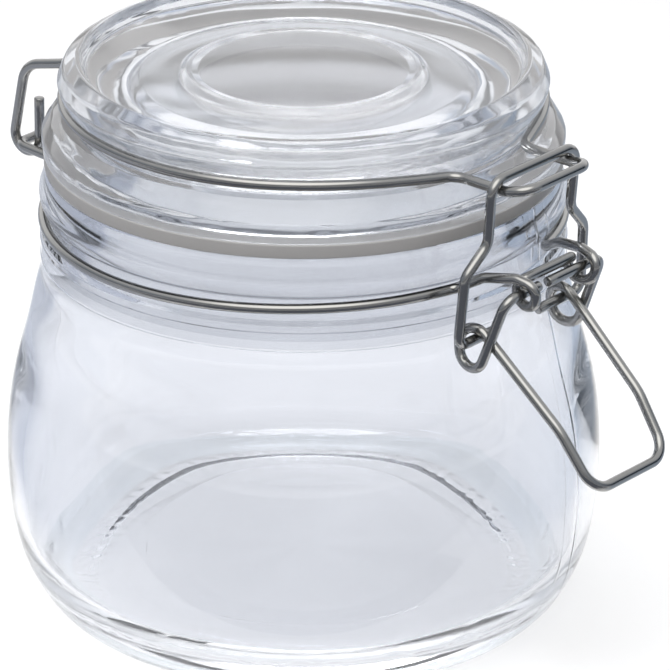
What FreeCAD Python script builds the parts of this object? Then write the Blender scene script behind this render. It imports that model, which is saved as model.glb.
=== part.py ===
import FreeCAD, Part
import math, os

# Clip-top storage jar: pressed-glass body and lid, flat sealing ring, and four bent-wire pieces
# (neck collar, lid wire, closing lever, bail).  Millimetres, +Z up.  The jar's axis is the Z axis,
# the underside is at z = 0, the clasp is on the -Y side and the lid hinge is on the +Y side.

os.makedirs("parts", exist_ok=True)
V = FreeCAD.Vector

# ------------------------------------------------------------------ driving dimensions
WIRE_D = 1.9                 # diameter of all the steel wire
WR = WIRE_D / 2.0

# jar body
BASE_R = 43.4                # flat underside out to this radius
BELLY = [(43.4, 0.0), (45.2, 0.35), (46.6, 1.1), (48.6, 3.0), (50.65, 6.0), (52.5, 10.0),
         (53.95, 16.0), (54.72, 23.0), (54.87, 28.5), (54.6, 35.0), (53.05, 45.0),
         (50.7, 54.0), (48.85, 62.0), (47.95, 67.0)]
NECK_R = 47.95
GROOVE_R = 46.35             # bottom of the groove the collar wire sits in
GROOVE_Z0, GROOVE_Z1 = 72.6, 77.35
BEAD_R = 48.2                # finish bead above the groove
RIM_R = 46.85
RIM_Z = 85.0                 # top of the jar's rim
MOUTH_R = 42.5               # inside of the mouth
FLOOR_Z = 6.0                # inside floor, the thick pressed base below it
CAVITY = [(42.5, 74.5), (43.3, 70.0), (45.2, 64.0), (47.05, 58.0), (49.2, 50.0), (50.6, 42.0),
          (51.3, 34.0), (51.4, 28.0), (51.0, 20.0), (49.9, 13.5), (47.4, 9.2), (43.2, 6.7),
          (38.0, 6.0)]

# sealing ring
RING_OUT, RING_IN = 47.1, 40.2
RING_T = 2.6
SEAT_Z = RIM_Z + RING_T      # underside of the lid's seat

# lid
LID_R = 47.5                 # lid flange
LID_GROOVE_R = 42.4          # groove the lid wire lies in
LID_TOP = 105.0              # crest of the lid
LID_UNDER = 97.3             # ceiling of the hollow under the lid
VALLEY_R, VALLEY_Z = 29.7, 101.3
BOSS_R, BOSS_Z = 20.75, 102.75
DISC_R, DISC_Z = 19.0, 102.4

# wire layout (distances out from the jar's axis, and heights)
HINGE_Y, HINGE_Z = 60.4, 75.8        # centre of the hinge bar
COLLAR_R = 47.4                      # centreline of the collar round the neck
COLLAR_Z, COLLAR_TILT = 75.0, 1.2    # height at the hinge side, and rise towards the clasp
EYE_Y, EYE_Z, EYE_R = 58.3, 77.5, 2.6        # collar eyes that hold the lever
PIVOT_Y, PIVOT_Z = 58.3, 77.6        # lever pivot
COIL_Y, COIL_Z, COIL_R, COIL_H = 50.6, 66.4, 3.1, 0.45   # lever loops that hold the bail
KNEE_Y, KNEE_Z = 69.0, 55.2          # bend in the handle
GRIP_Y, GRIP_Z = 76.2, 45.3          # handle bar
BAIL_Y = 50.7
BAIL_Z = COIL_Z + COIL_H + COIL_R - WIRE_D - 0.12        # bail pins, resting under the loop's top
BAIL_TOP_Y, BAIL_TOP_Z = 53.4, 98.05
LIDWIRE_R, LIDWIRE_Z = 43.5, 97.4
TONGUE_Y, TONGUE_Z = 58.9, 96.9
HOOK_X = 9.8                         # hinge hooks, either side of the middle


# ------------------------------------------------------------------ small vector helpers
def sub(a, b):
    return [a[i] - b[i] for i in range(3)]


def add(a, b, k=1.0):
    return [a[i] + k * b[i] for i in range(3)]


def dot(a, b):
    return sum(a[i] * b[i] for i in range(3))


def length(a):
    return math.sqrt(dot(a, a))


def unit(a):
    n = length(a)
    return [x / n for x in a]


# ------------------------------------------------------------------ rounded paths
def fillet(corners):
    """Corner points with radii -> tangent lines and arcs: ('L', p, q) and ('A', p, m, q)."""
    pts = [list(p) for p, _ in corners]
    rad = [r for _, r in corners]
    n = len(pts)
    cut = [0.0] * n
    turn = [0.0] * n
    for i in range(1, n - 1):
        u = unit(sub(pts[i], pts[i - 1]))
        v = unit(sub(pts[i + 1], pts[i]))
        turn[i] = math.acos(max(-1.0, min(1.0, dot(u, v))))
        cut[i] = rad[i] * math.tan(turn[i] / 2)
    for i in range(1, n - 1):
        for j in (i - 1, i + 1):
            d = length(sub(pts[i], pts[j]))
            if cut[i] + cut[j] > d + 1e-9:
                k = d / (cut[i] + cut[j])
                cut[i] *= k
                cut[j] *= k
    segs = []
    last = pts[0]
    for i in range(1, n - 1):
        u = unit(sub(pts[i], pts[i - 1]))
        v = unit(sub(pts[i + 1], pts[i]))
        if turn[i] < 1e-6 or cut[i] < 1e-6:
            if length(sub(pts[i], last)) > 1e-5:
                segs.append(('L', last, pts[i]))
                last = pts[i]
            continue
        p = add(pts[i], u, -cut[i])
        q = add(pts[i], v, cut[i])
        r = cut[i] / math.tan(turn[i] / 2)
        m = add(pts[i], unit(add(v, u, -1)), r / math.cos(turn[i] / 2) - r)
        if length(sub(p, last)) > 1e-5:
            segs.append(('L', last, p))
        segs.append(('A', p, m, q))
        last = q
    if length(sub(pts[-1], last)) > 1e-5:
        segs.append(('L', last, pts[-1]))
    return segs


def edges(segs):
    out = []
    for s in segs:
        if s[0] == 'L':
            out.append(Part.LineSegment(V(*s[1]), V(*s[2])).toShape())
        else:
            out.append(Part.Arc(V(*s[1]), V(*s[2]), V(*s[3])).toShape())
    return out


def ring(radius, a0, a1, n, height, s):
    """Corners of the polygon round an arc about Z, angles from +Y towards side s."""
    out = []
    step = (a1 - a0) / float(n)
    rc = radius / math.cos(math.radians(step / 2))
    for i in range(n):
        a = math.radians(a0 + step * (i + 0.5))
        x, y = s * rc * math.sin(a), rc * math.cos(a)
        out.append(((x, y, height(y)), radius))
    return out


def tangent_corner(radius, a, x, z, s):
    """Corner where the ring's tangent at angle a meets the plane |x|."""
    t = math.radians(a)
    k = (x - radius * math.sin(t)) / math.cos(t)
    return (s * x, radius * math.cos(t) - k * math.sin(t), z)


def loop(y, z, radius, a0, a1, n, x0, x1, s, tall=0.0):
    """Corners of the polygon round a loop about X, drifting from |x| = x0 to x1."""
    out = []
    step = (a1 - a0) / float(n)
    rc = radius / math.cos(math.radians(step / 2))
    for i in range(n):
        a = math.radians(a0 + step * (i + 0.5))
        x = x0 + (x1 - x0) * (i + 0.5) / n
        zz = rc * math.sin(a)
        out.append(((s * x, -(y + rc * math.cos(a)), z + zz + (tall if zz > 0 else -tall)), radius))
    return out


# ------------------------------------------------------------------ the four bent wires
def collar_height(y):
    return COLLAR_Z + COLLAR_TILT * max(0.0, -y) / COLLAR_R


def collar_path(s):
    c = [((0, HINGE_Y, HINGE_Z), 0), ((s * 12.3, HINGE_Y, HINGE_Z), 2.4),
         (tangent_corner(COLLAR_R, 22, 12.3, 75.0, s), 2.4)]
    c += ring(COLLAR_R, 22, 159, 8, collar_height, s)
    c += [(tangent_corner(COLLAR_R, 159, 12.6, 76.3, s), 2.6),
          ((s * 10.7, -51.0, 79.2), 3.0),
          ((s * 9.2, -(EYE_Y - 1.2), EYE_Z + EYE_R + 0.1), 2.3)]
    c += loop(EYE_Y, EYE_Z, EYE_R, 66, -216, 8, 8.9, 6.9, s)
    c += [((s * 6.7, -57.0, 79.4), 1.1), ((0, -57.0, 79.4), 0)]
    return c


def lever_path(s):
    start = 4.3 if s < 0 else -2.0
    dy, dz = PIVOT_Y - COIL_Y, PIVOT_Z - COIL_Z
    a0 = math.degrees(math.atan2(dz, dy)) - math.degrees(math.acos(COIL_R / math.hypot(dy, dz)))
    dy, dz = KNEE_Y - COIL_Y, KNEE_Z - COIL_Z
    a1 = math.degrees(math.atan2(dz, dy)) + math.degrees(math.acos(COIL_R / math.hypot(dy, dz))) - 360
    c = [((s * start, -PIVOT_Y, PIVOT_Z), 0), ((s * 13.4, -PIVOT_Y, PIVOT_Z), 2.6)]
    c += loop(COIL_Y, COIL_Z, COIL_R, a0, a1, 8, 13.9, 12.0, s, COIL_H)
    c += [((s * 11.2, -KNEE_Y, KNEE_Z), 14), ((s * 10.3, -GRIP_Y, GRIP_Z), 4.6),
          ((0, -GRIP_Y, GRIP_Z), 0)]
    return c


def bail_path(s):
    start = 6.6 if s < 0 else 5.0
    return [((s * start, -BAIL_Y, BAIL_Z), 0), ((s * 17.2, -BAIL_Y, BAIL_Z), 2.2),
            ((s * 16.6, -51.6, 81.2), 3.5), ((s * 11.5, -52.5, 86.2), 3.5),
            ((s * 11.7, -BAIL_TOP_Y, BAIL_TOP_Z), 3.0), ((0, -BAIL_TOP_Y, BAIL_TOP_Z), 0)]


def lidwire_height(y):
    return LIDWIRE_Z if y > -36 else LIDWIRE_Z - (min(-y, 42.0) - 36.0) / 6.0 * 1.2


def lidwire_path(s):
    c = [((s * HOOK_X, 56.8, 85.2), 0), ((s * HOOK_X, 56.9, 73.7), 3.3),
         ((s * HOOK_X, 63.9, 73.7), 3.3), ((s * HOOK_X, 60.2, 91.0), 5.5),
         ((s * HOOK_X, 51.0, 93.4), 12.0), (tangent_corner(LIDWIRE_R, 21, HOOK_X, 96.6, s), 2.4)]
    c += ring(LIDWIRE_R, 21, 157, 8, lidwire_height, s)
    c += [(tangent_corner(LIDWIRE_R, 157, 9.2, 95.9, s), 3.5), ((s * 9.2, -54.6, 95.9), 6.0),
          ((s * 8.6, -TONGUE_Y, TONGUE_Z), 3.4), ((0, -TONGUE_Y, TONGUE_Z), 0)]
    return c


def sweep(path):
    segs = fillet(path)
    spine = Part.Wire(edges(segs))
    p = segs[0][1]
    d = sub(segs[0][2], p)
    disc = Part.Wire([Part.Circle(V(*p), V(*d), WR).toShape()])
    tube = spine.makePipeShell([disc], True, False)
    expect = spine.Length * math.pi * WR * WR
    print("  half: valid", tube.isValid(), "volume/expected", round(tube.Volume / expect, 4))
    return tube


def bent_wire(path):
    both = sweep(path(-1)).fuse(sweep(path(1)))
    solid = both.Solids[0]
    print("  solids", len(both.Solids), "valid", solid.isValid(), "volume", round(solid.Volume, 1))
    return solid


# ------------------------------------------------------------------ turned pieces
def spline(points, t0, t1):
    c = Part.BSplineCurve()
    c.interpolate(Points=[V(r, 0, z) for r, z in points], InitialTangent=V(t0[0], 0, t0[1]),
                  FinalTangent=V(t1[0], 0, t1[1]), Scale=False)
    return c.toShape()


def profile(corners):
    return edges(fillet([((r, 0.0, z), f) for r, z, f in corners]))


def turn(edge_list):
    face = Part.Face(Part.Wire(Part.__sortEdges__(edge_list)))
    solid = face.revolve(V(0, 0, 0), V(0, 0, 1), 360)
    if solid.ShapeType != "Solid":
        solid = Part.Solid(solid.Shells[0]) if solid.Shells else solid
    if solid.Volume < 0:
        solid.reverse()
    return solid


def make_jar_body():
    e = [Part.LineSegment(V(0, 0, 0), V(BASE_R, 0, 0)).toShape()]
    e.append(spline(BELLY, (1, 0.02), (0, 1)))
    e += profile([(NECK_R, BELLY[-1][1], 0), (NECK_R, GROOVE_Z0, 0.35),
                  (GROOVE_R, GROOVE_Z0 + 0.35, 0.5), (GROOVE_R, GROOVE_Z1 - 0.1, 0.5),
                  (BEAD_R - 0.6, GROOVE_Z1 + 0.25, 1.3), (BEAD_R, 80.1, 3.0),
                  (RIM_R + 0.2, 83.4, 2.5), (RIM_R, RIM_Z, 0.6), (MOUTH_R, RIM_Z, 0.9),
                  (MOUTH_R, CAVITY[0][1], 0)])
    e.append(spline(CAVITY, (0, -1), (-1, -0.02)))
    e.append(Part.LineSegment(V(CAVITY[-1][0], 0, FLOOR_Z), V(0, 0, FLOOR_Z)).toShape())
    e.append(Part.LineSegment(V(0, 0, FLOOR_Z), V(0, 0, 0)).toShape())
    return turn(e)


def make_lid():
    z = SEAT_Z
    e = profile([(0, LID_UNDER, 0), (32.5, LID_UNDER, 4.0), (38.3, 92.0, 2.5),
                 (39.4, z, 0.4), (LID_R - 0.3, z, 0.5), (LID_R, 91.0, 1.6), (45.6, 93.9, 4.0),
                 (44.3, 95.0, 0.35), (LID_GROOVE_R, 95.15, 0.35), (LID_GROOVE_R, 98.45, 0.4),
                 (43.9, 98.65, 0.5), (44.55, 101.0, 1.8), (43.4, 103.6, 1.8),
                 (40.9, LID_TOP, 1.2), (40.1, 104.85, 0.6), (39.3, 102.75, 1.5),
                 (VALLEY_R, VALLEY_Z, 4.0), (BOSS_R + 1.65, BOSS_Z - 1.0, 2.0),
                 (BOSS_R + 0.45, BOSS_Z - 0.15, 0.9), (BOSS_R - 0.45, BOSS_Z, 0.7),
                 (DISC_R, DISC_Z + 0.05, 1.4), (0, DISC_Z, 0)])
    e.append(Part.LineSegment(V(0, 0, DISC_Z), V(0, 0, LID_UNDER)).toShape())
    return turn(e)


def make_gasket():
    f = 0.4
    z0, z1 = RIM_Z, SEAT_Z
    mid = (z0 + z1) / 2
    e = profile([(RING_IN, mid, 0), (RING_IN, z0, f), (RING_OUT, z0, f), (RING_OUT, z1, f),
                 (RING_IN, z1, f), (RING_IN, mid, 0)])
    return turn(e)


nodes = {}
nodes["jar_body"] = make_jar_body()
nodes["lid"] = make_lid()
nodes["gasket"] = make_gasket()
for name, path in (("collar_wire", collar_path), ("lid_wire", lidwire_path),
                   ("lever", lever_path), ("bail", bail_path)):
    print(name)
    nodes[name] = bent_wire(path)

for name, shape in nodes.items():
    b = shape.BoundBox
    print(name, shape.ShapeType, "valid", shape.isValid(), "volume", round(shape.Volume, 1),
          "box", [round(v, 2) for v in (b.XMin, b.XMax, b.YMin, b.YMax, b.ZMin, b.ZMax)])
    shape.exportStep("parts/" + name + ".step")
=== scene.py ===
import math
import bpy
import numpy as np
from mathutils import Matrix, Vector


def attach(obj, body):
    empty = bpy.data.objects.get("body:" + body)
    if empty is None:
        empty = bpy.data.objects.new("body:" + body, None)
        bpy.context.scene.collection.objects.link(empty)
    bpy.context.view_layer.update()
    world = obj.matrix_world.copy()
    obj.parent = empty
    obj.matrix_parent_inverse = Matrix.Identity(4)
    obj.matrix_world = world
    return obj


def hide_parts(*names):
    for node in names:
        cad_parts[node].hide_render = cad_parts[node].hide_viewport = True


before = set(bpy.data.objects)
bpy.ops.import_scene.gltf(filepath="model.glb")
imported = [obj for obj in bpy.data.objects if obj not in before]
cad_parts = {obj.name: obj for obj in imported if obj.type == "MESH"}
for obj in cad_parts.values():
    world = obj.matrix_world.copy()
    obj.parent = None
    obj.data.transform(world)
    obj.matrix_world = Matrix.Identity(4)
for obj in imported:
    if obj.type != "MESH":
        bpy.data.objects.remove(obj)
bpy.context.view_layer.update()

MM = 0.001
rng = np.random.default_rng(7)

# ------------------------------------------------------------------ dimensions, in mm, as the solids have them
WIRE_D = 1.9
BELLY = [(43.4, 0.0), (45.2, 0.35), (46.6, 1.1), (48.6, 3.0), (50.65, 6.0), (52.5, 10.0),
         (53.95, 16.0), (54.72, 23.0), (54.87, 28.5), (54.6, 35.0), (53.05, 45.0),
         (50.7, 54.0), (48.85, 62.0), (47.95, 67.0)]
CAVITY = [(42.5, 74.5), (43.3, 70.0), (45.2, 64.0), (47.05, 58.0), (49.2, 50.0), (50.6, 42.0),
          (51.3, 34.0), (51.4, 28.0), (51.0, 20.0), (49.9, 13.5), (47.4, 9.2), (43.2, 6.7),
          (38.0, 6.0)]
HINGE_Y, HINGE_Z = 60.4, 75.8
COLLAR_R, COLLAR_Z, COLLAR_TILT = 47.4, 75.0, 1.2
EYE_Y, EYE_Z, EYE_R = 58.3, 77.5, 2.6
PIVOT_Y, PIVOT_Z = 58.3, 77.6
COIL_Y, COIL_Z, COIL_R, COIL_H = 50.6, 66.4, 3.1, 0.45
KNEE_Y, KNEE_Z = 69.0, 55.2
GRIP_Y, GRIP_Z = 76.2, 45.3
BAIL_Y = 50.7
BAIL_Z = COIL_Z + COIL_H + COIL_R - WIRE_D - 0.12
BAIL_TOP_Y, BAIL_TOP_Z = 53.4, 98.05
LIDWIRE_R, LIDWIRE_Z = 43.5, 97.4
TONGUE_Y, TONGUE_Z = 58.9, 96.9
HOOK_X = 9.8


# ------------------------------------------------------------------ small vector helpers
def sub(a, b):
    return [a[i] - b[i] for i in range(3)]


def add(a, b, k=1.0):
    return [a[i] + k * b[i] for i in range(3)]


def dot(a, b):
    return sum(a[i] * b[i] for i in range(3))


def length(a):
    return math.sqrt(dot(a, a))


def unit(a):
    n = length(a)
    return [x / n for x in a]


# ------------------------------------------------------------------ rounded paths, as in the solids
def fillet(corners):
    pts = [list(p) for p, _ in corners]
    rad = [r for _, r in corners]
    n = len(pts)
    cut = [0.0] * n
    turn = [0.0] * n
    for i in range(1, n - 1):
        u = unit(sub(pts[i], pts[i - 1]))
        v = unit(sub(pts[i + 1], pts[i]))
        turn[i] = math.acos(max(-1.0, min(1.0, dot(u, v))))
        cut[i] = rad[i] * math.tan(turn[i] / 2)
    for i in range(1, n - 1):
        for j in (i - 1, i + 1):
            d = length(sub(pts[i], pts[j]))
            if cut[i] + cut[j] > d + 1e-9:
                k = d / (cut[i] + cut[j])
                cut[i] *= k
                cut[j] *= k
    segs = []
    last = pts[0]
    for i in range(1, n - 1):
        u = unit(sub(pts[i], pts[i - 1]))
        v = unit(sub(pts[i + 1], pts[i]))
        if turn[i] < 1e-6 or cut[i] < 1e-6:
            if length(sub(pts[i], last)) > 1e-5:
                segs.append(('L', last, pts[i]))
                last = pts[i]
            continue
        p = add(pts[i], u, -cut[i])
        q = add(pts[i], v, cut[i])
        r = cut[i] / math.tan(turn[i] / 2)
        m = add(pts[i], unit(add(v, u, -1)), r / math.cos(turn[i] / 2) - r)
        if length(sub(p, last)) > 1e-5:
            segs.append(('L', last, p))
        segs.append(('A', p, m, q))
        last = q
    if length(sub(pts[-1], last)) > 1e-5:
        segs.append(('L', last, pts[-1]))
    return segs


def cross(a, b):
    return [a[1] * b[2] - a[2] * b[1], a[2] * b[0] - a[0] * b[2], a[0] * b[1] - a[1] * b[0]]


def sample(segs, step, arc_steps=4, line_step=None):
    """Points along the path: about every step on arcs, every line_step on straight lines."""
    out = [list(segs[0][1])]
    for s in segs:
        if s[0] == 'L':
            k = max(1, int(round(length(sub(s[2], s[1])) / (line_step or step))))
            for i in range(1, k + 1):
                out.append(add(s[1], sub(s[2], s[1]), i / k))
            continue
        p, m, q = s[1:]
        a, b = sub(p, q), sub(m, q)
        n = cross(a, b)
        nn = dot(n, n)
        if nn < 1e-16:
            out.append(list(q))
            continue
        c = cross([dot(a, a) * b[i] - dot(b, b) * a[i] for i in range(3)], n)
        cen = add(q, c, 1 / (2 * nn))
        r0, r1 = sub(p, cen), sub(q, cen)
        rad = length(r0)
        e1 = unit(r0)
        e2 = unit(sub(r1, [dot(r1, e1) * x for x in e1]))
        ang = math.atan2(dot(r1, e2), dot(r1, e1))
        k = max(arc_steps, int(abs(ang) * rad / step))
        for i in range(1, k + 1):
            t = ang * i / k
            out.append([cen[j] + rad * (math.cos(t) * e1[j] + math.sin(t) * e2[j]) for j in range(3)])
    return out


def ring(radius, a0, a1, n, height, s):
    out = []
    step = (a1 - a0) / float(n)
    rc = radius / math.cos(math.radians(step / 2))
    for i in range(n):
        a = math.radians(a0 + step * (i + 0.5))
        x, y = s * rc * math.sin(a), rc * math.cos(a)
        out.append(((x, y, height(y)), radius))
    return out


def tangent_corner(radius, a, x, z, s):
    t = math.radians(a)
    k = (x - radius * math.sin(t)) / math.cos(t)
    return (s * x, radius * math.cos(t) - k * math.sin(t), z)


def loop(y, z, radius, a0, a1, n, x0, x1, s, tall=0.0):
    out = []
    step = (a1 - a0) / float(n)
    rc = radius / math.cos(math.radians(step / 2))
    for i in range(n):
        a = math.radians(a0 + step * (i + 0.5))
        x = x0 + (x1 - x0) * (i + 0.5) / n
        zz = rc * math.sin(a)
        out.append(((s * x, -(y + rc * math.cos(a)), z + zz + (tall if zz > 0 else -tall)), radius))
    return out


# ------------------------------------------------------------------ the four bent wires
def collar_height(y):
    return COLLAR_Z + COLLAR_TILT * max(0.0, -y) / COLLAR_R


def collar_path(s):
    c = [((0, HINGE_Y, HINGE_Z), 0), ((s * 12.3, HINGE_Y, HINGE_Z), 2.4),
         (tangent_corner(COLLAR_R, 22, 12.3, 75.0, s), 2.4)]
    c += ring(COLLAR_R, 22, 159, 8, collar_height, s)
    c += [(tangent_corner(COLLAR_R, 159, 12.6, 76.3, s), 2.6),
          ((s * 10.7, -51.0, 79.2), 3.0),
          ((s * 9.2, -(EYE_Y - 1.2), EYE_Z + EYE_R + 0.1), 2.3)]
    c += loop(EYE_Y, EYE_Z, EYE_R, 66, -216, 8, 8.9, 6.9, s)
    c += [((s * 6.7, -57.0, 79.4), 1.1), ((0, -57.0, 79.4), 0)]
    return c


def lever_path(s):
    start = 4.3 if s < 0 else -2.0
    dy, dz = PIVOT_Y - COIL_Y, PIVOT_Z - COIL_Z
    a0 = math.degrees(math.atan2(dz, dy)) - math.degrees(math.acos(COIL_R / math.hypot(dy, dz)))
    dy, dz = KNEE_Y - COIL_Y, KNEE_Z - COIL_Z
    a1 = math.degrees(math.atan2(dz, dy)) + math.degrees(math.acos(COIL_R / math.hypot(dy, dz))) - 360
    c = [((s * start, -PIVOT_Y, PIVOT_Z), 0), ((s * 13.4, -PIVOT_Y, PIVOT_Z), 2.6)]
    c += loop(COIL_Y, COIL_Z, COIL_R, a0, a1, 8, 13.9, 12.0, s, COIL_H)
    c += [((s * 11.2, -KNEE_Y, KNEE_Z), 14), ((s * 10.3, -GRIP_Y, GRIP_Z), 4.6),
          ((0, -GRIP_Y, GRIP_Z), 0)]
    return c


def bail_path(s):
    start = 6.6 if s < 0 else 5.0
    return [((s * start, -BAIL_Y, BAIL_Z), 0), ((s * 17.2, -BAIL_Y, BAIL_Z), 2.2),
            ((s * 16.6, -51.6, 81.2), 3.5), ((s * 11.5, -52.5, 86.2), 3.5),
            ((s * 11.7, -BAIL_TOP_Y, BAIL_TOP_Z), 3.0), ((0, -BAIL_TOP_Y, BAIL_TOP_Z), 0)]


def lidwire_height(y):
    return LIDWIRE_Z if y > -36 else LIDWIRE_Z - (min(-y, 42.0) - 36.0) / 6.0 * 1.2


def lidwire_path(s):
    c = [((s * HOOK_X, 56.8, 85.2), 0), ((s * HOOK_X, 56.9, 73.7), 3.3),
         ((s * HOOK_X, 63.9, 73.7), 3.3), ((s * HOOK_X, 60.2, 91.0), 5.5),
         ((s * HOOK_X, 51.0, 93.4), 12.0), (tangent_corner(LIDWIRE_R, 21, HOOK_X, 96.6, s), 2.4)]
    c += ring(LIDWIRE_R, 21, 157, 8, lidwire_height, s)
    c += [(tangent_corner(LIDWIRE_R, 157, 9.2, 95.9, s), 3.5), ((s * 9.2, -54.6, 95.9), 6.0),
          ((s * 8.6, -TONGUE_Y, TONGUE_Z), 3.4), ((0, -TONGUE_Y, TONGUE_Z), 0)]
    return c


# ------------------------------------------------------------------ mesh makers
def new_object(name, verts, faces, mat, smooth=True):
    me = bpy.data.meshes.new(name)
    me.from_pydata(verts, [], faces)
    me.validate()
    me.materials.append(mat)
    if smooth:
        me.shade_smooth()
    ob = bpy.data.objects.new(name, me)
    bpy.context.scene.collection.objects.link(ob)
    return ob


def tube(name, left, right, mat, sides=20, closed=False, step=0.45):
    """One smooth wire from the two half paths, joined at x = 0, with slightly rounded cut ends."""
    a = sample(fillet(left), step, 5, 2.5)
    b = sample(fillet(right), step, 5, 2.5)
    # half paths that start at a free end run inwards; those that start at x = 0 close into a ring
    if closed:
        pts = a + b[::-1][1:-1]
    else:
        pts = a + b[::-1][1:]
    p = np.array(pts)
    n = len(p)
    if closed:
        t = np.roll(p, -1, 0) - np.roll(p, 1, 0)
    else:
        t = np.gradient(p, axis=0)
    t /= np.linalg.norm(t, axis=1)[:, None]
    u = np.cross(t[0], [0.0, 0.3, 1.0])
    u /= np.linalg.norm(u)
    us = []
    for i in range(n):
        u = u - t[i] * np.dot(u, t[i])
        u /= np.linalg.norm(u)
        us.append(u.copy())
    r = WIRE_D / 2
    rows = []
    if closed:
        rows = [(i, p[i], r) for i in range(n)]
    else:
        c = 0.16
        rows += [(0, p[0], r - c), (0, p[0] + t[0] * c * 0.35, r - c * 0.3), (0, p[0] + t[0] * c, r)]
        rows += [(i, p[i], r) for i in range(1, n - 1)]
        rows += [(n - 1, p[-1] - t[-1] * c, r), (n - 1, p[-1] - t[-1] * c * 0.35, r - c * 0.3),
                 (n - 1, p[-1], r - c)]
    verts, faces = [], []
    for i, q, rr in rows:
        w = np.cross(t[i], us[i])
        for k in range(sides):
            a2 = 2 * math.pi * k / sides
            v = q + rr * (math.cos(a2) * us[i] + math.sin(a2) * w)
            verts.append(tuple(v * MM))
    m = len(rows)
    if closed:
        # close the ring with the shift that best matches the last row to the first
        first = np.array(verts[:sides])
        last = np.array(verts[-sides:])
        shift = min(range(sides), key=lambda s: np.abs(np.roll(first, -s, 0) - last).sum())
    for i in range(m if closed else m - 1):
        for k in range(sides):
            k2 = (k + 1) % sides
            if i < m - 1:
                faces.append((i * sides + k, i * sides + k2, (i + 1) * sides + k2, (i + 1) * sides + k))
            else:
                faces.append((i * sides + k, i * sides + k2, (k2 + shift) % sides, (k + shift) % sides))
    if not closed:
        faces.append(tuple(range(sides - 1, -1, -1)))
        faces.append(tuple((m - 1) * sides + k for k in range(sides)))
    return new_object(name, verts, faces, mat)


def curve_through(points, step=0.5, t0=None, t1=None):
    """Smooth curve through the points (cubic spline on chord length), as in the solids."""
    p = np.array(points, float)
    d = np.r_[0, np.cumsum(np.hypot(*np.diff(p, axis=0).T))]
    n = len(p)
    h = np.diff(d)
    A = np.zeros((n, n))
    B = np.zeros((n, 2))
    for i in range(1, n - 1):
        A[i, i - 1:i + 2] = [h[i - 1], 2 * (h[i - 1] + h[i]), h[i]]
        B[i] = 6 * ((p[i + 1] - p[i]) / h[i] - (p[i] - p[i - 1]) / h[i - 1])
    A[0, 0] = A[-1, -1] = 1
    if t0 is not None:
        A[0, :2] = [2 * h[0], h[0]]
        B[0] = 6 * ((p[1] - p[0]) / h[0] - np.array(t0, float))
    if t1 is not None:
        A[-1, -2:] = [h[-1], 2 * h[-1]]
        B[-1] = 6 * (np.array(t1, float) - (p[-1] - p[-2]) / h[-1])
    M = np.linalg.solve(A, B)
    out = []
    for i in range(n - 1):
        k = max(1, int(round(h[i] / step)))
        for j in range(k if i < n - 2 else k + 1):
            a = j / k * h[i]
            b = h[i] - a
            q = (M[i] * b ** 3 + M[i + 1] * a ** 3) / (6 * h[i]) + (p[i] / h[i] - M[i] * h[i] / 6) * b \
                + (p[i + 1] / h[i] - M[i + 1] * h[i] / 6) * a
            out.append((float(q[0]), float(q[1])))
    return out


def rounded(corners, step=0.35, line_step=1.5):
    """(r, z, fillet radius) corners -> points."""
    pts = sample(fillet([((r, 0.0, z), f) for r, z, f in corners]), step, 5, line_step)
    return [(q[0], q[2]) for q in pts]


def lathe(name, prof, mat, seg=240, wave=None, n_out=0, extra=()):
    """Closed solid of revolution.  prof runs from the axis to the axis, or is a closed ring off it."""
    prof = [(*q, i >= n_out) for i, q in enumerate(prof)]
    prof = [prof[0]] + [b for a, b in zip(prof, prof[1:]) if math.hypot(a[0] - b[0], a[1] - b[1]) > 1e-4]
    angles = [2 * math.pi * k / seg for k in range(seg)]
    angles = sorted(angles + [e % (2 * math.pi) for e in extra])
    angles = [angles[0]] + [b for a, b in zip(angles, angles[1:]) if b - a > 1e-4]
    seg = len(angles)
    on_axis = prof[0][0] < 1e-6
    if not on_axis and math.hypot(prof[0][0] - prof[-1][0], prof[0][1] - prof[-1][1]) < 1e-4:
        prof = prof[:-1]
    verts, rows = [], []
    for r, z, inside in prof:
        if r < 1e-6:
            rows.append([len(verts)])
            verts.append((0, 0, z * MM))
            continue
        row = []
        for a in angles:
            rr, zz = wave(r, z, a, inside) if wave else (r, z)
            row.append(len(verts))
            verts.append((rr * math.cos(a) * MM, rr * math.sin(a) * MM, zz * MM))
        rows.append(row)
    faces = []
    pairs = list(zip(rows, rows[1:])) + ([] if on_axis else [(rows[-1], rows[0])])
    for a, b in pairs:
        for k in range(seg):
            k2 = (k + 1) % seg
            if len(a) == 1:
                faces.append((a[0], b[k2], b[k]))
            elif len(b) == 1:
                faces.append((a[k], a[k2], b[0]))
            else:
                faces.append((a[k], a[k2], b[k2], b[k]))
    ob = new_object(name, verts, faces, mat)
    return ob


# ------------------------------------------------------------------ materials
def principled(name, **values):
    m = bpy.data.materials.new(name)
    m.use_nodes = True
    b = m.node_tree.nodes["Principled BSDF"]
    for k, v in values.items():
        b.inputs[k.replace("_", " ")].default_value = v
    return m, b


def glass_material(name, tint_and_shade, rough=0.0):
    """Clear glass that lets lamps through to the floor behind it. Where a caller darkens its colour, that darkening
    is painted shade.
    """
    m, b = principled(name, Base_Color=(*tint_and_shade, 1), Roughness=rough, IOR=1.5, Transmission_Weight=1.0)
    nt = m.node_tree
    out = nt.nodes["Material Output"]
    lp = nt.nodes.new("ShaderNodeLightPath")
    tr = nt.nodes.new("ShaderNodeBsdfTransparent")
    tr.inputs[0].default_value = (0.985, 0.987, 0.99, 1)
    mix = nt.nodes.new("ShaderNodeMixShader")
    nt.links.new(lp.outputs["Is Shadow Ray"], mix.inputs[0])
    nt.links.new(b.outputs[0], mix.inputs[1])
    nt.links.new(tr.outputs[0], mix.inputs[2])
    nt.links.new(mix.outputs[0], out.inputs["Surface"])
    return m


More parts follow.
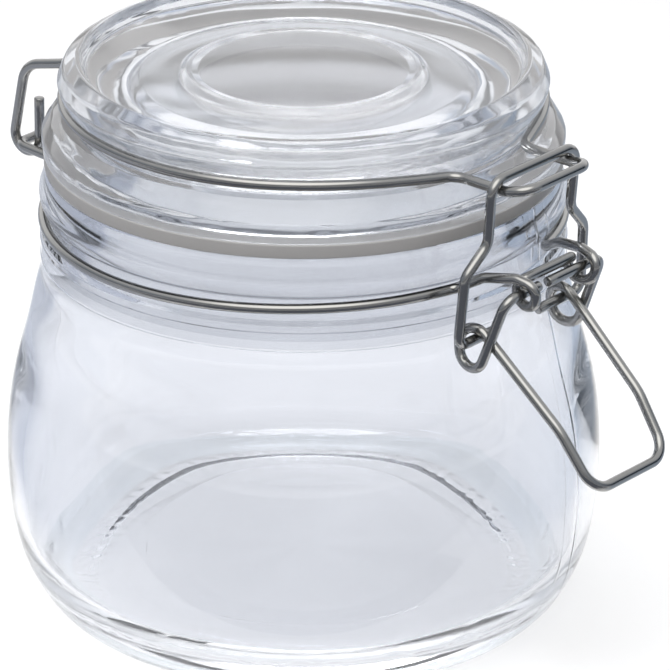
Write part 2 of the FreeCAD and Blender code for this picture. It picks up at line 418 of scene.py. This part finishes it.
GLASS = glass_material("clear_glass", (0.88, 0.893, 0.925))            # thin walls
THICK_AND_SHADE_GLASS = glass_material("neck_glass_painted_shade", (0.63, 0.65, 0.695), 0.02)             # heavy finish and neck, coloured darker than its thickness alone gives: painted shade of the shaded floor and dark surroundings seen through it
# Floor of the jar: thick glass, coloured darker still as painted shadow of the jar on the floor under it, since the
# floor itself is lit without that shadow.
BASE_AND_SHADOW_GLASS = glass_material("base_glass_painted_shadow", (0.81, 0.82, 0.845), 0.03)
HEEL = glass_material("heel_glass", (0.75, 0.80, 0.84), 0.12)
LIDTOP = glass_material("lid_glass", (0.915, 0.925, 0.95), 0.08)
# Middle of the lid, coloured darker and warmer than clear glass: painted shade of the shaded floor under the jar
# seen through it.
DISC_SHADE_GLASS = glass_material("disc_glass_painted_shade", (0.59, 0.575, 0.57), 0.08)
# Lower lid wall and outer crest, thick glass coloured darker than its thickness gives: painted shade of the dark
# surroundings it shows.
FLANGE_SHADE_GLASS = glass_material("flange_glass_painted_shade", (0.63, 0.65, 0.685), 0.06)
STEEL, _ = principled("drawn_steel", Base_Color=(0.33, 0.327, 0.318, 1), Metallic=1.0, Roughness=0.2)
SEAL, _ = principled("sealing_ring", Base_Color=(0.31, 0.303, 0.3, 1), Roughness=0.45,
                     Subsurface_Weight=0.3, Subsurface_Radius=(0.004, 0.004, 0.004))

# ------------------------------------------------------------------ glass pieces
def noise_ring(count, low, high, seed):
    """Smooth random function of the angle: waves with between low and high ripples round the jar."""
    g = np.random.default_rng(seed)
    ks = g.integers(low, high, count)
    ph = g.uniform(0, 2 * math.pi, count)
    am = g.uniform(0.4, 1.0, count)
    am = am / np.sqrt((am ** 2).sum() / 2)
    return lambda a: float((am * np.sin(ks * a + ph)).sum())


SEAM = math.atan2(-0.960, 0.279)       # mould parting line, and its twin opposite
rough1, rough2 = noise_ring(14, 6, 60, 3), noise_ring(10, 3, 24, 4)
knurl_n = 66
knurl_jit = noise_ring(8, 5, 40, 5)
slow1, slow2, slow3 = noise_ring(5, 2, 7, 8), noise_ring(5, 2, 6, 9), noise_ring(6, 3, 9, 10)


def bump(x, w):
    return math.exp(-(x / w) ** 2)


def body_wave(r, z, a, inside):
    """Small real unevenness of pressed glass: parting line, settle line inside the base, knurled foot."""
    if inside:
        # the inside skin drifts a little, and has a jagged settle line round the edge of the floor
        if z > 6.3 or r > 30:
            k = min(1.0, max(0.0, (72 - z) / 10))
            r = r + 0.10 * k * slow1(a + z * 0.02)
        d = r - (46.0 + 0.45 * rough1(a) + 0.35 * rough2(a))
        if z < 16:
            z = z + 0.11 * bump(d, 0.45) - 0.06 * bump(d - 1.2, 0.8)
            z = z + 0.05 * slow3(a) * min(1.0, r / 20)
        return r, z
    for s0, tall in ((SEAM, 0.06), (SEAM + math.pi, 0.02)):
        d = (a - s0 + math.pi) % (2 * math.pi) - math.pi
        if abs(d) < 0.05 and 2.5 < z < 84:
            r = r + tall * bump(d * r, 0.28)
    if z < 2.5 and 36.5 < r < 44.5:
        t = (a * knurl_n / (2 * math.pi) + 0.35 * knurl_jit(a) + 0.12 * math.sin(r * 2.2)) % 1.0 - 0.5
        k = bump((r - 40.8), 2.4)
        z = z + 0.10 * k * (1 - bump(t, 0.25))
    return r, z


lid1, lid2, lid3 = noise_ring(12, 8, 44, 21), noise_ring(12, 12, 60, 22), noise_ring(8, 3, 12, 23)


def lid_wave(r, z, a, inside):
    """Pressed-glass unevenness: faint flow ripples on the skirt and under the crest."""
    if z < 97.0 and r < 39.6:
        k = min(1.0, max(0.0, (r - 27) / 6)) * min(1.0, max(0.0, (z - 87.7) / 3))
        return r + 0.06 * k * lid1(a + 0.015 * z), z + 0.03 * k * lid3(a)
    if r > 39.6 and z > 88.6:
        k = min(1.0, (z - 88.6) / 2)
        return r - (0.028 if 90.5 < z < 95.4 else 0.02) * k * (1.4 + lid2(a + 0.03 * z)), z
    if 23.0 < r < 38.6:
        return r, z - 0.03 * (1.4 + lid3(a + 0.05 * r))
    return r, z


def body_profile():
    p = rounded([(0, 1.0, 0), (33.0, 0.75, 8.0), (38.3, 0.4, 2.0), (40.0, 0.0, 3.0), (43.4, 0.0, 0)], 0.5, 3.0)
    p = [q for q in p if q[0] < 36] + [q for q in resample([q for q in p if q[0] >= 36], 0.45)]
    p += curve_through(BELLY, 0.8, (1, 0.02), (0, 1))
    p += rounded([(47.95, 67.0, 0), (47.95, 67.7, 0.2), (48.12, 67.95, 0.15), (47.95, 68.2, 0.2),
                  (47.95, 71.2, 0.2), (48.12, 71.5, 0.15), (47.95, 71.8, 0.2), (47.95, 72.6, 0.35),
                  (46.35, 72.95, 0.5), (46.35, 77.25, 0.5), (47.6, 77.6, 1.3), (48.2, 80.1, 3.0),
                  (47.05, 83.4, 2.5), (46.85, 85.0, 0.6), (42.5, 85.0, 0.9), (42.5, 74.5, 0)])
    n_out = len(p)
    c = curve_through(CAVITY, 0.25, (0, -1), (-1, -0.02))
    p += [q for i, q in enumerate(c) if q[1] < 12 or i % 4 == 0]
    p += rounded([(38.0, 6.0, 0), (30.0, 6.0, 5.0), (24.0, 6.4, 20.0), (0, 6.7, 0)], 0.6, 3.0)
    return p, n_out


def resample(pts, step):
    out = [pts[0]]
    for a, b in zip(pts, pts[1:]):
        k = max(1, int(round(math.hypot(b[0] - a[0], b[1] - a[1]) / step)))
        out += [(a[0] + (b[0] - a[0]) * i / k, a[1] + (b[1] - a[1]) * i / k) for i in range(1, k + 1)]
    return out


def lid_profile():
    z = 87.6
    return rounded([(0, 97.3, 0), (32.5, 97.3, 4.0), (38.3, 92.0, 2.5), (39.4, z, 0.4),
                    (47.2, z, 0.5), (47.5, 91.0, 1.6), (45.6, 93.9, 4.0), (44.3, 95.0, 0.35),
                    (42.4, 95.15, 0.35), (42.4, 98.45, 0.4), (43.9, 98.65, 0.5),
                    (44.55, 101.0, 1.8), (43.4, 103.6, 1.8), (40.9, 105.0, 1.2),
                    (40.1, 104.85, 0.6), (39.3, 102.75, 1.5), (29.7, 101.3, 4.0),
                    (22.4, 101.75, 2.0), (21.2, 102.6, 0.9), (20.3, 102.75, 0.7),
                    (19.0, 102.45, 1.4), (0, 102.4, 0)])


def gasket_profile():
    e, f = 0.02, 0.35
    return rounded([(40.2, 86.3, 0), (40.2, 85.0 - e, f), (47.1, 85.0 - e, f), (47.1, 87.6 + e, f),
                    (40.2, 87.6 + e, f), (40.2, 86.3, 0)])


prof, n_out = body_profile()
extra = [SEAM + k * math.pi + j * 0.0035 for k in (0, 1) for j in range(-5, 6)]


def slots(ob, mats, pick):
    """Further materials for some of the faces, picked by where each face's middle is."""
    for m in mats:
        ob.data.materials.append(m)
    for f in ob.data.polygons:
        f.material_index = pick(f.center)


body = lathe("body_glass", prof, GLASS, 440, wave=body_wave, n_out=n_out, extra=extra)
# Faces above the neck seam get the neck glass, the floor the base glass and the foot edge the heel glass; the neck
# and base glass carry painted shade in their colours.
slots(body, [THICK_AND_SHADE_GLASS, BASE_AND_SHADOW_GLASS, HEEL], lambda c: 1 if c.z > 0.0681 else 3 if c.z < 0.0055 and math.hypot(c.x, c.y) > 0.0436
      else 2 if c.z < 0.0085 and math.hypot(c.x, c.y) < 0.0455 else 0)
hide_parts("jar_body")
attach(body, "jar")
cover = lathe("lid_glass", lid_profile(), LIDTOP, 360, wave=lid_wave)
# The lower wall and the outer crest get the flange glass, the middle of the top the disc glass; both carry painted
# shade in their colours.
slots(cover, [FLANGE_SHADE_GLASS, DISC_SHADE_GLASS], lambda c: 1 if (c.z < 0.0962 and math.hypot(c.x, c.y) > 0.0375) or (0.0984 < c.z < 0.1036 and math.hypot(c.x, c.y) > 0.0415)
      else 2 if c.z > 0.102 and math.hypot(c.x, c.y) < 0.019 else 0)
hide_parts("lid")
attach(cover, "lid")
seal = lathe("seal_ring", gasket_profile(), SEAL)
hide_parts("gasket")
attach(seal, "jar")

# ------------------------------------------------------------------ wires
for name, node, path, bod, shut in (
        ("collar_wire_tube", "collar_wire", collar_path, "jar", True),
        ("lid_wire_tube", "lid_wire", lidwire_path, "lid", False),
        ("lever_tube", "lever", lever_path, "lever", False),
        ("bail_tube", "bail", bail_path, "bail", False)):
    w = tube(name, path(-1), path(1), STEEL, closed=shut)
    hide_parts(node)
    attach(w, bod)

# ------------------------------------------------------------------ floor, light, cards, camera
scene = bpy.context.scene
floor_mat, _ = principled("floor", Base_Color=(0.95, 0.95, 0.955, 1), Roughness=0.9)
floor_mat.node_tree.nodes["Principled BSDF"].inputs["Specular IOR Level"].default_value = 0.0
s = 6.0
floor = new_object("floor", [(-s, -s, -0.0002), (s, -s, -0.0002), (s, s, -0.0002), (-s, s, -0.0002)],
                   [(0, 1, 2, 3)], floor_mat, False)

world = bpy.data.worlds.new("studio")
scene.world = world
world.use_nodes = True
wn = world.node_tree
back = wn.nodes["Background"]
coord = wn.nodes.new("ShaderNodeTexCoord")


def world_map(vector, x0, x1):
    """0 to 1 as the direction's share along vector goes from x0 to x1."""
    d = wn.nodes.new("ShaderNodeVectorMath")
    d.operation = "DOT_PRODUCT"
    wn.links.new(coord.outputs["Generated"], d.inputs[0])
    d.inputs[1].default_value = vector
    m = wn.nodes.new("ShaderNodeMapRange")
    m.interpolation_type = "SMOOTHSTEP"
    m.inputs["From Min"].default_value, m.inputs["From Max"].default_value = x0, x1
    wn.links.new(d.outputs["Value"], m.inputs["Value"])
    return m.outputs[0]


def world_mix(fac, a, b):
    m = wn.nodes.new("ShaderNodeMix")
    m.data_type = "RGBA"
    wn.links.new(fac, m.inputs["Factor"])
    for v, i in ((a, 6), (b, 7)):
        if isinstance(v, tuple):
            m.inputs[i].default_value = (*v, 1)
        else:
            wn.links.new(v, m.inputs[i])
    return m.outputs[2]


KEY = (-0.45, -0.27, 0.85)              # towards the key light: bright soft patch that the wires mirror
BEHIND = (-math.sin(math.radians(-49.0)), math.cos(math.radians(-49.0)), 0.0)
SIDE_C, FRONT_C, BACK_C, TOP_C = (0.38, 0.42, 0.48), (0.42, 0.43, 0.45), (1.15, 1.155, 1.17), (0.86, 0.87, 0.89)
low = world_mix(world_map(BEHIND, 0.25, 0.85), SIDE_C, BACK_C)
low = world_mix(world_map([-v for v in BEHIND], 0.35, 0.9), low, FRONT_C)
sky = world_mix(world_map((0, 0, 1), 0.3, 0.75), low, TOP_C)
sky = world_mix(world_map(KEY, 0.80, 0.95), sky, (2.5, 2.48, 2.42))
wn.links.new(sky, back.inputs[0])
back.inputs[1].default_value = 1.0
world.cycles_visibility.diffuse = False      # mirrored and refracted only; the lamp lights the floor


def area(name, loc, aim, sx, sy, power, colour=(1, 1, 1)):
    d = bpy.data.lights.new(name, "AREA")
    d.shape = "RECTANGLE"
    d.size, d.size_y = sx, sy
    d.energy = power
    d.color = colour
    o = bpy.data.objects.new(name, d)
    scene.collection.objects.link(o)
    o.location = loc
    o.rotation_mode = "QUATERNION"
    o.rotation_quaternion = (Vector(aim) - Vector(loc)).to_track_quat("-Z", "Y")
    return o


AZ, EL = math.radians(-49.0), math.radians(23.78)
BACK = Vector((math.sin(AZ) * math.cos(EL), -math.cos(AZ) * math.cos(EL), math.sin(EL)))
RIGHT = Vector((math.cos(AZ), math.sin(AZ), 0))
FRONT = Vector((math.sin(AZ), -math.cos(AZ), 0))      # from the jar towards the camera, level
MID = Vector((0, 0, 0.0499))


def place(right, front, up):
    return MID + RIGHT * right + FRONT * front + Vector((0, 0, up))


key = area("top", place(-0.15, 0.35, 1.25), MID, 1.2, 1.0, 30.5)
key.visible_glossy = False


def card(name, right, front, up, w, h, grey):
    m, b = principled(name + "_mat", Base_Color=(grey * 0.5, grey * 0.9, grey * 1.4, 1), Roughness=1.0)
    b.inputs["Specular IOR Level"].default_value = 0.0
    c = place(right, front, up)
    n = (MID - c)
    n.z = 0
    n.normalize()
    side = Vector((0, 0, 1)).cross(n)
    v = [c + side * (i * w / 2) + Vector((0, 0, j * h / 2)) for i, j in ((-1, -1), (1, -1), (1, 1), (-1, 1))]
    o = new_object(name, [tuple(x) for x in v], [(0, 1, 2, 3)], m, False)
    o.visible_camera = False
    o.visible_shadow = False
    return o


card("card_right", 0.75, -0.1, 0.12, 0.3, 0.32, 0.05)

# a dark strip of table in front, out of the picture, that the wires and the rim mirror
def strip(name, x0, x1, y0, y1, tone, through, fade=None):
    """A greyer part of the table, off to one side, fading into the rest of it over the distances fade."""
    m, b = principled(name + "_mat", Base_Color=(*tone, 1), Roughness=1.0)
    b.inputs["Specular IOR Level"].default_value = 0.0
    if fade:
        nt = m.node_tree
        where = nt.nodes.new("ShaderNodeTexCoord")
        share = None
        for axis, e0, e1 in ((RIGHT, x0, x0 + fade[0]), (RIGHT, x1, x1 - fade[1]), (FRONT, y0, y0 + fade[2]),
                             (FRONT, y1, y1 - fade[3])):
            d = nt.nodes.new("ShaderNodeVectorMath")
            d.operation = "DOT_PRODUCT"
            nt.links.new(where.outputs["Object"], d.inputs[0])
            d.inputs[1].default_value = axis
            r = nt.nodes.new("ShaderNodeMapRange")
            r.interpolation_type = "SMOOTHSTEP"
            r.inputs["From Min"].default_value, r.inputs["From Max"].default_value = e0, e1
            nt.links.new(d.outputs["Value"], r.inputs["Value"])
            if share is None:
                share = r.outputs[0]
                continue
            k = nt.nodes.new("ShaderNodeMath")
            k.operation = "MULTIPLY"
            nt.links.new(share, k.inputs[0])
            nt.links.new(r.outputs[0], k.inputs[1])
            share = k.outputs[0]
        mix = nt.nodes.new("ShaderNodeMix")
        mix.data_type = "RGBA"
        mix.inputs[6].default_value = (0.95, 0.95, 0.955, 1)
        mix.inputs[7].default_value = (*tone, 1)
        nt.links.new(share, mix.inputs["Factor"])
        nt.links.new(mix.outputs[2], b.inputs["Base Color"])
    v = [RIGHT * i + FRONT * j + Vector((0, 0, 0.0003)) for i, j in ((x0, y0), (x1, y0), (x1, y1), (x0, y1))]
    o = new_object(name, [tuple(q) for q in v], [(0, 1, 2, 3)], m, False)
    o.visible_camera = False
    o.visible_diffuse = False
    o.visible_transmission = through
    o.visible_shadow = False


strip("front_strip", -0.5, 0.5, 0.068, 0.6, (0.14, 0.15, 0.18), False)
strip("left_strip", -0.75, -0.066, -0.6, 0.09, (0.48, 0.51, 0.58), True, (0.15, 0.03, 0.15, 0.05))
strip("right_strip", 0.075, 0.75, -0.6, 0.09, (0.42, 0.48, 0.57), True, (0.03, 0.15, 0.15, 0.05))

scene.view_settings.view_transform = "Standard"
scene.cycles.max_bounces = 28
scene.cycles.transmission_bounces = 28
scene.cycles.transparent_max_bounces = 24
scene.cycles.glossy_bounces = 24
scene.cycles.caustics_reflective = False
scene.cycles.caustics_refractive = False

cam_data = bpy.data.cameras.new("camera")
cam = bpy.data.objects.new("camera", cam_data)
scene.collection.objects.link(cam)
cam_data.sensor_width = 36.0
cam_data.lens = 5434.5 / 670.0 * 36.0
cam_data.shift_x = (335.0 - 303.64) / 670.0
cam_data.clip_start, cam_data.clip_end = 0.05, 50.0
cam.rotation_mode = "QUATERNION"
cam.location = Vector((0, 0, 0.04995)) + BACK * 1.0
cam.rotation_quaternion = (-BACK).to_track_quat("-Z", "Y")
scene.camera = cam
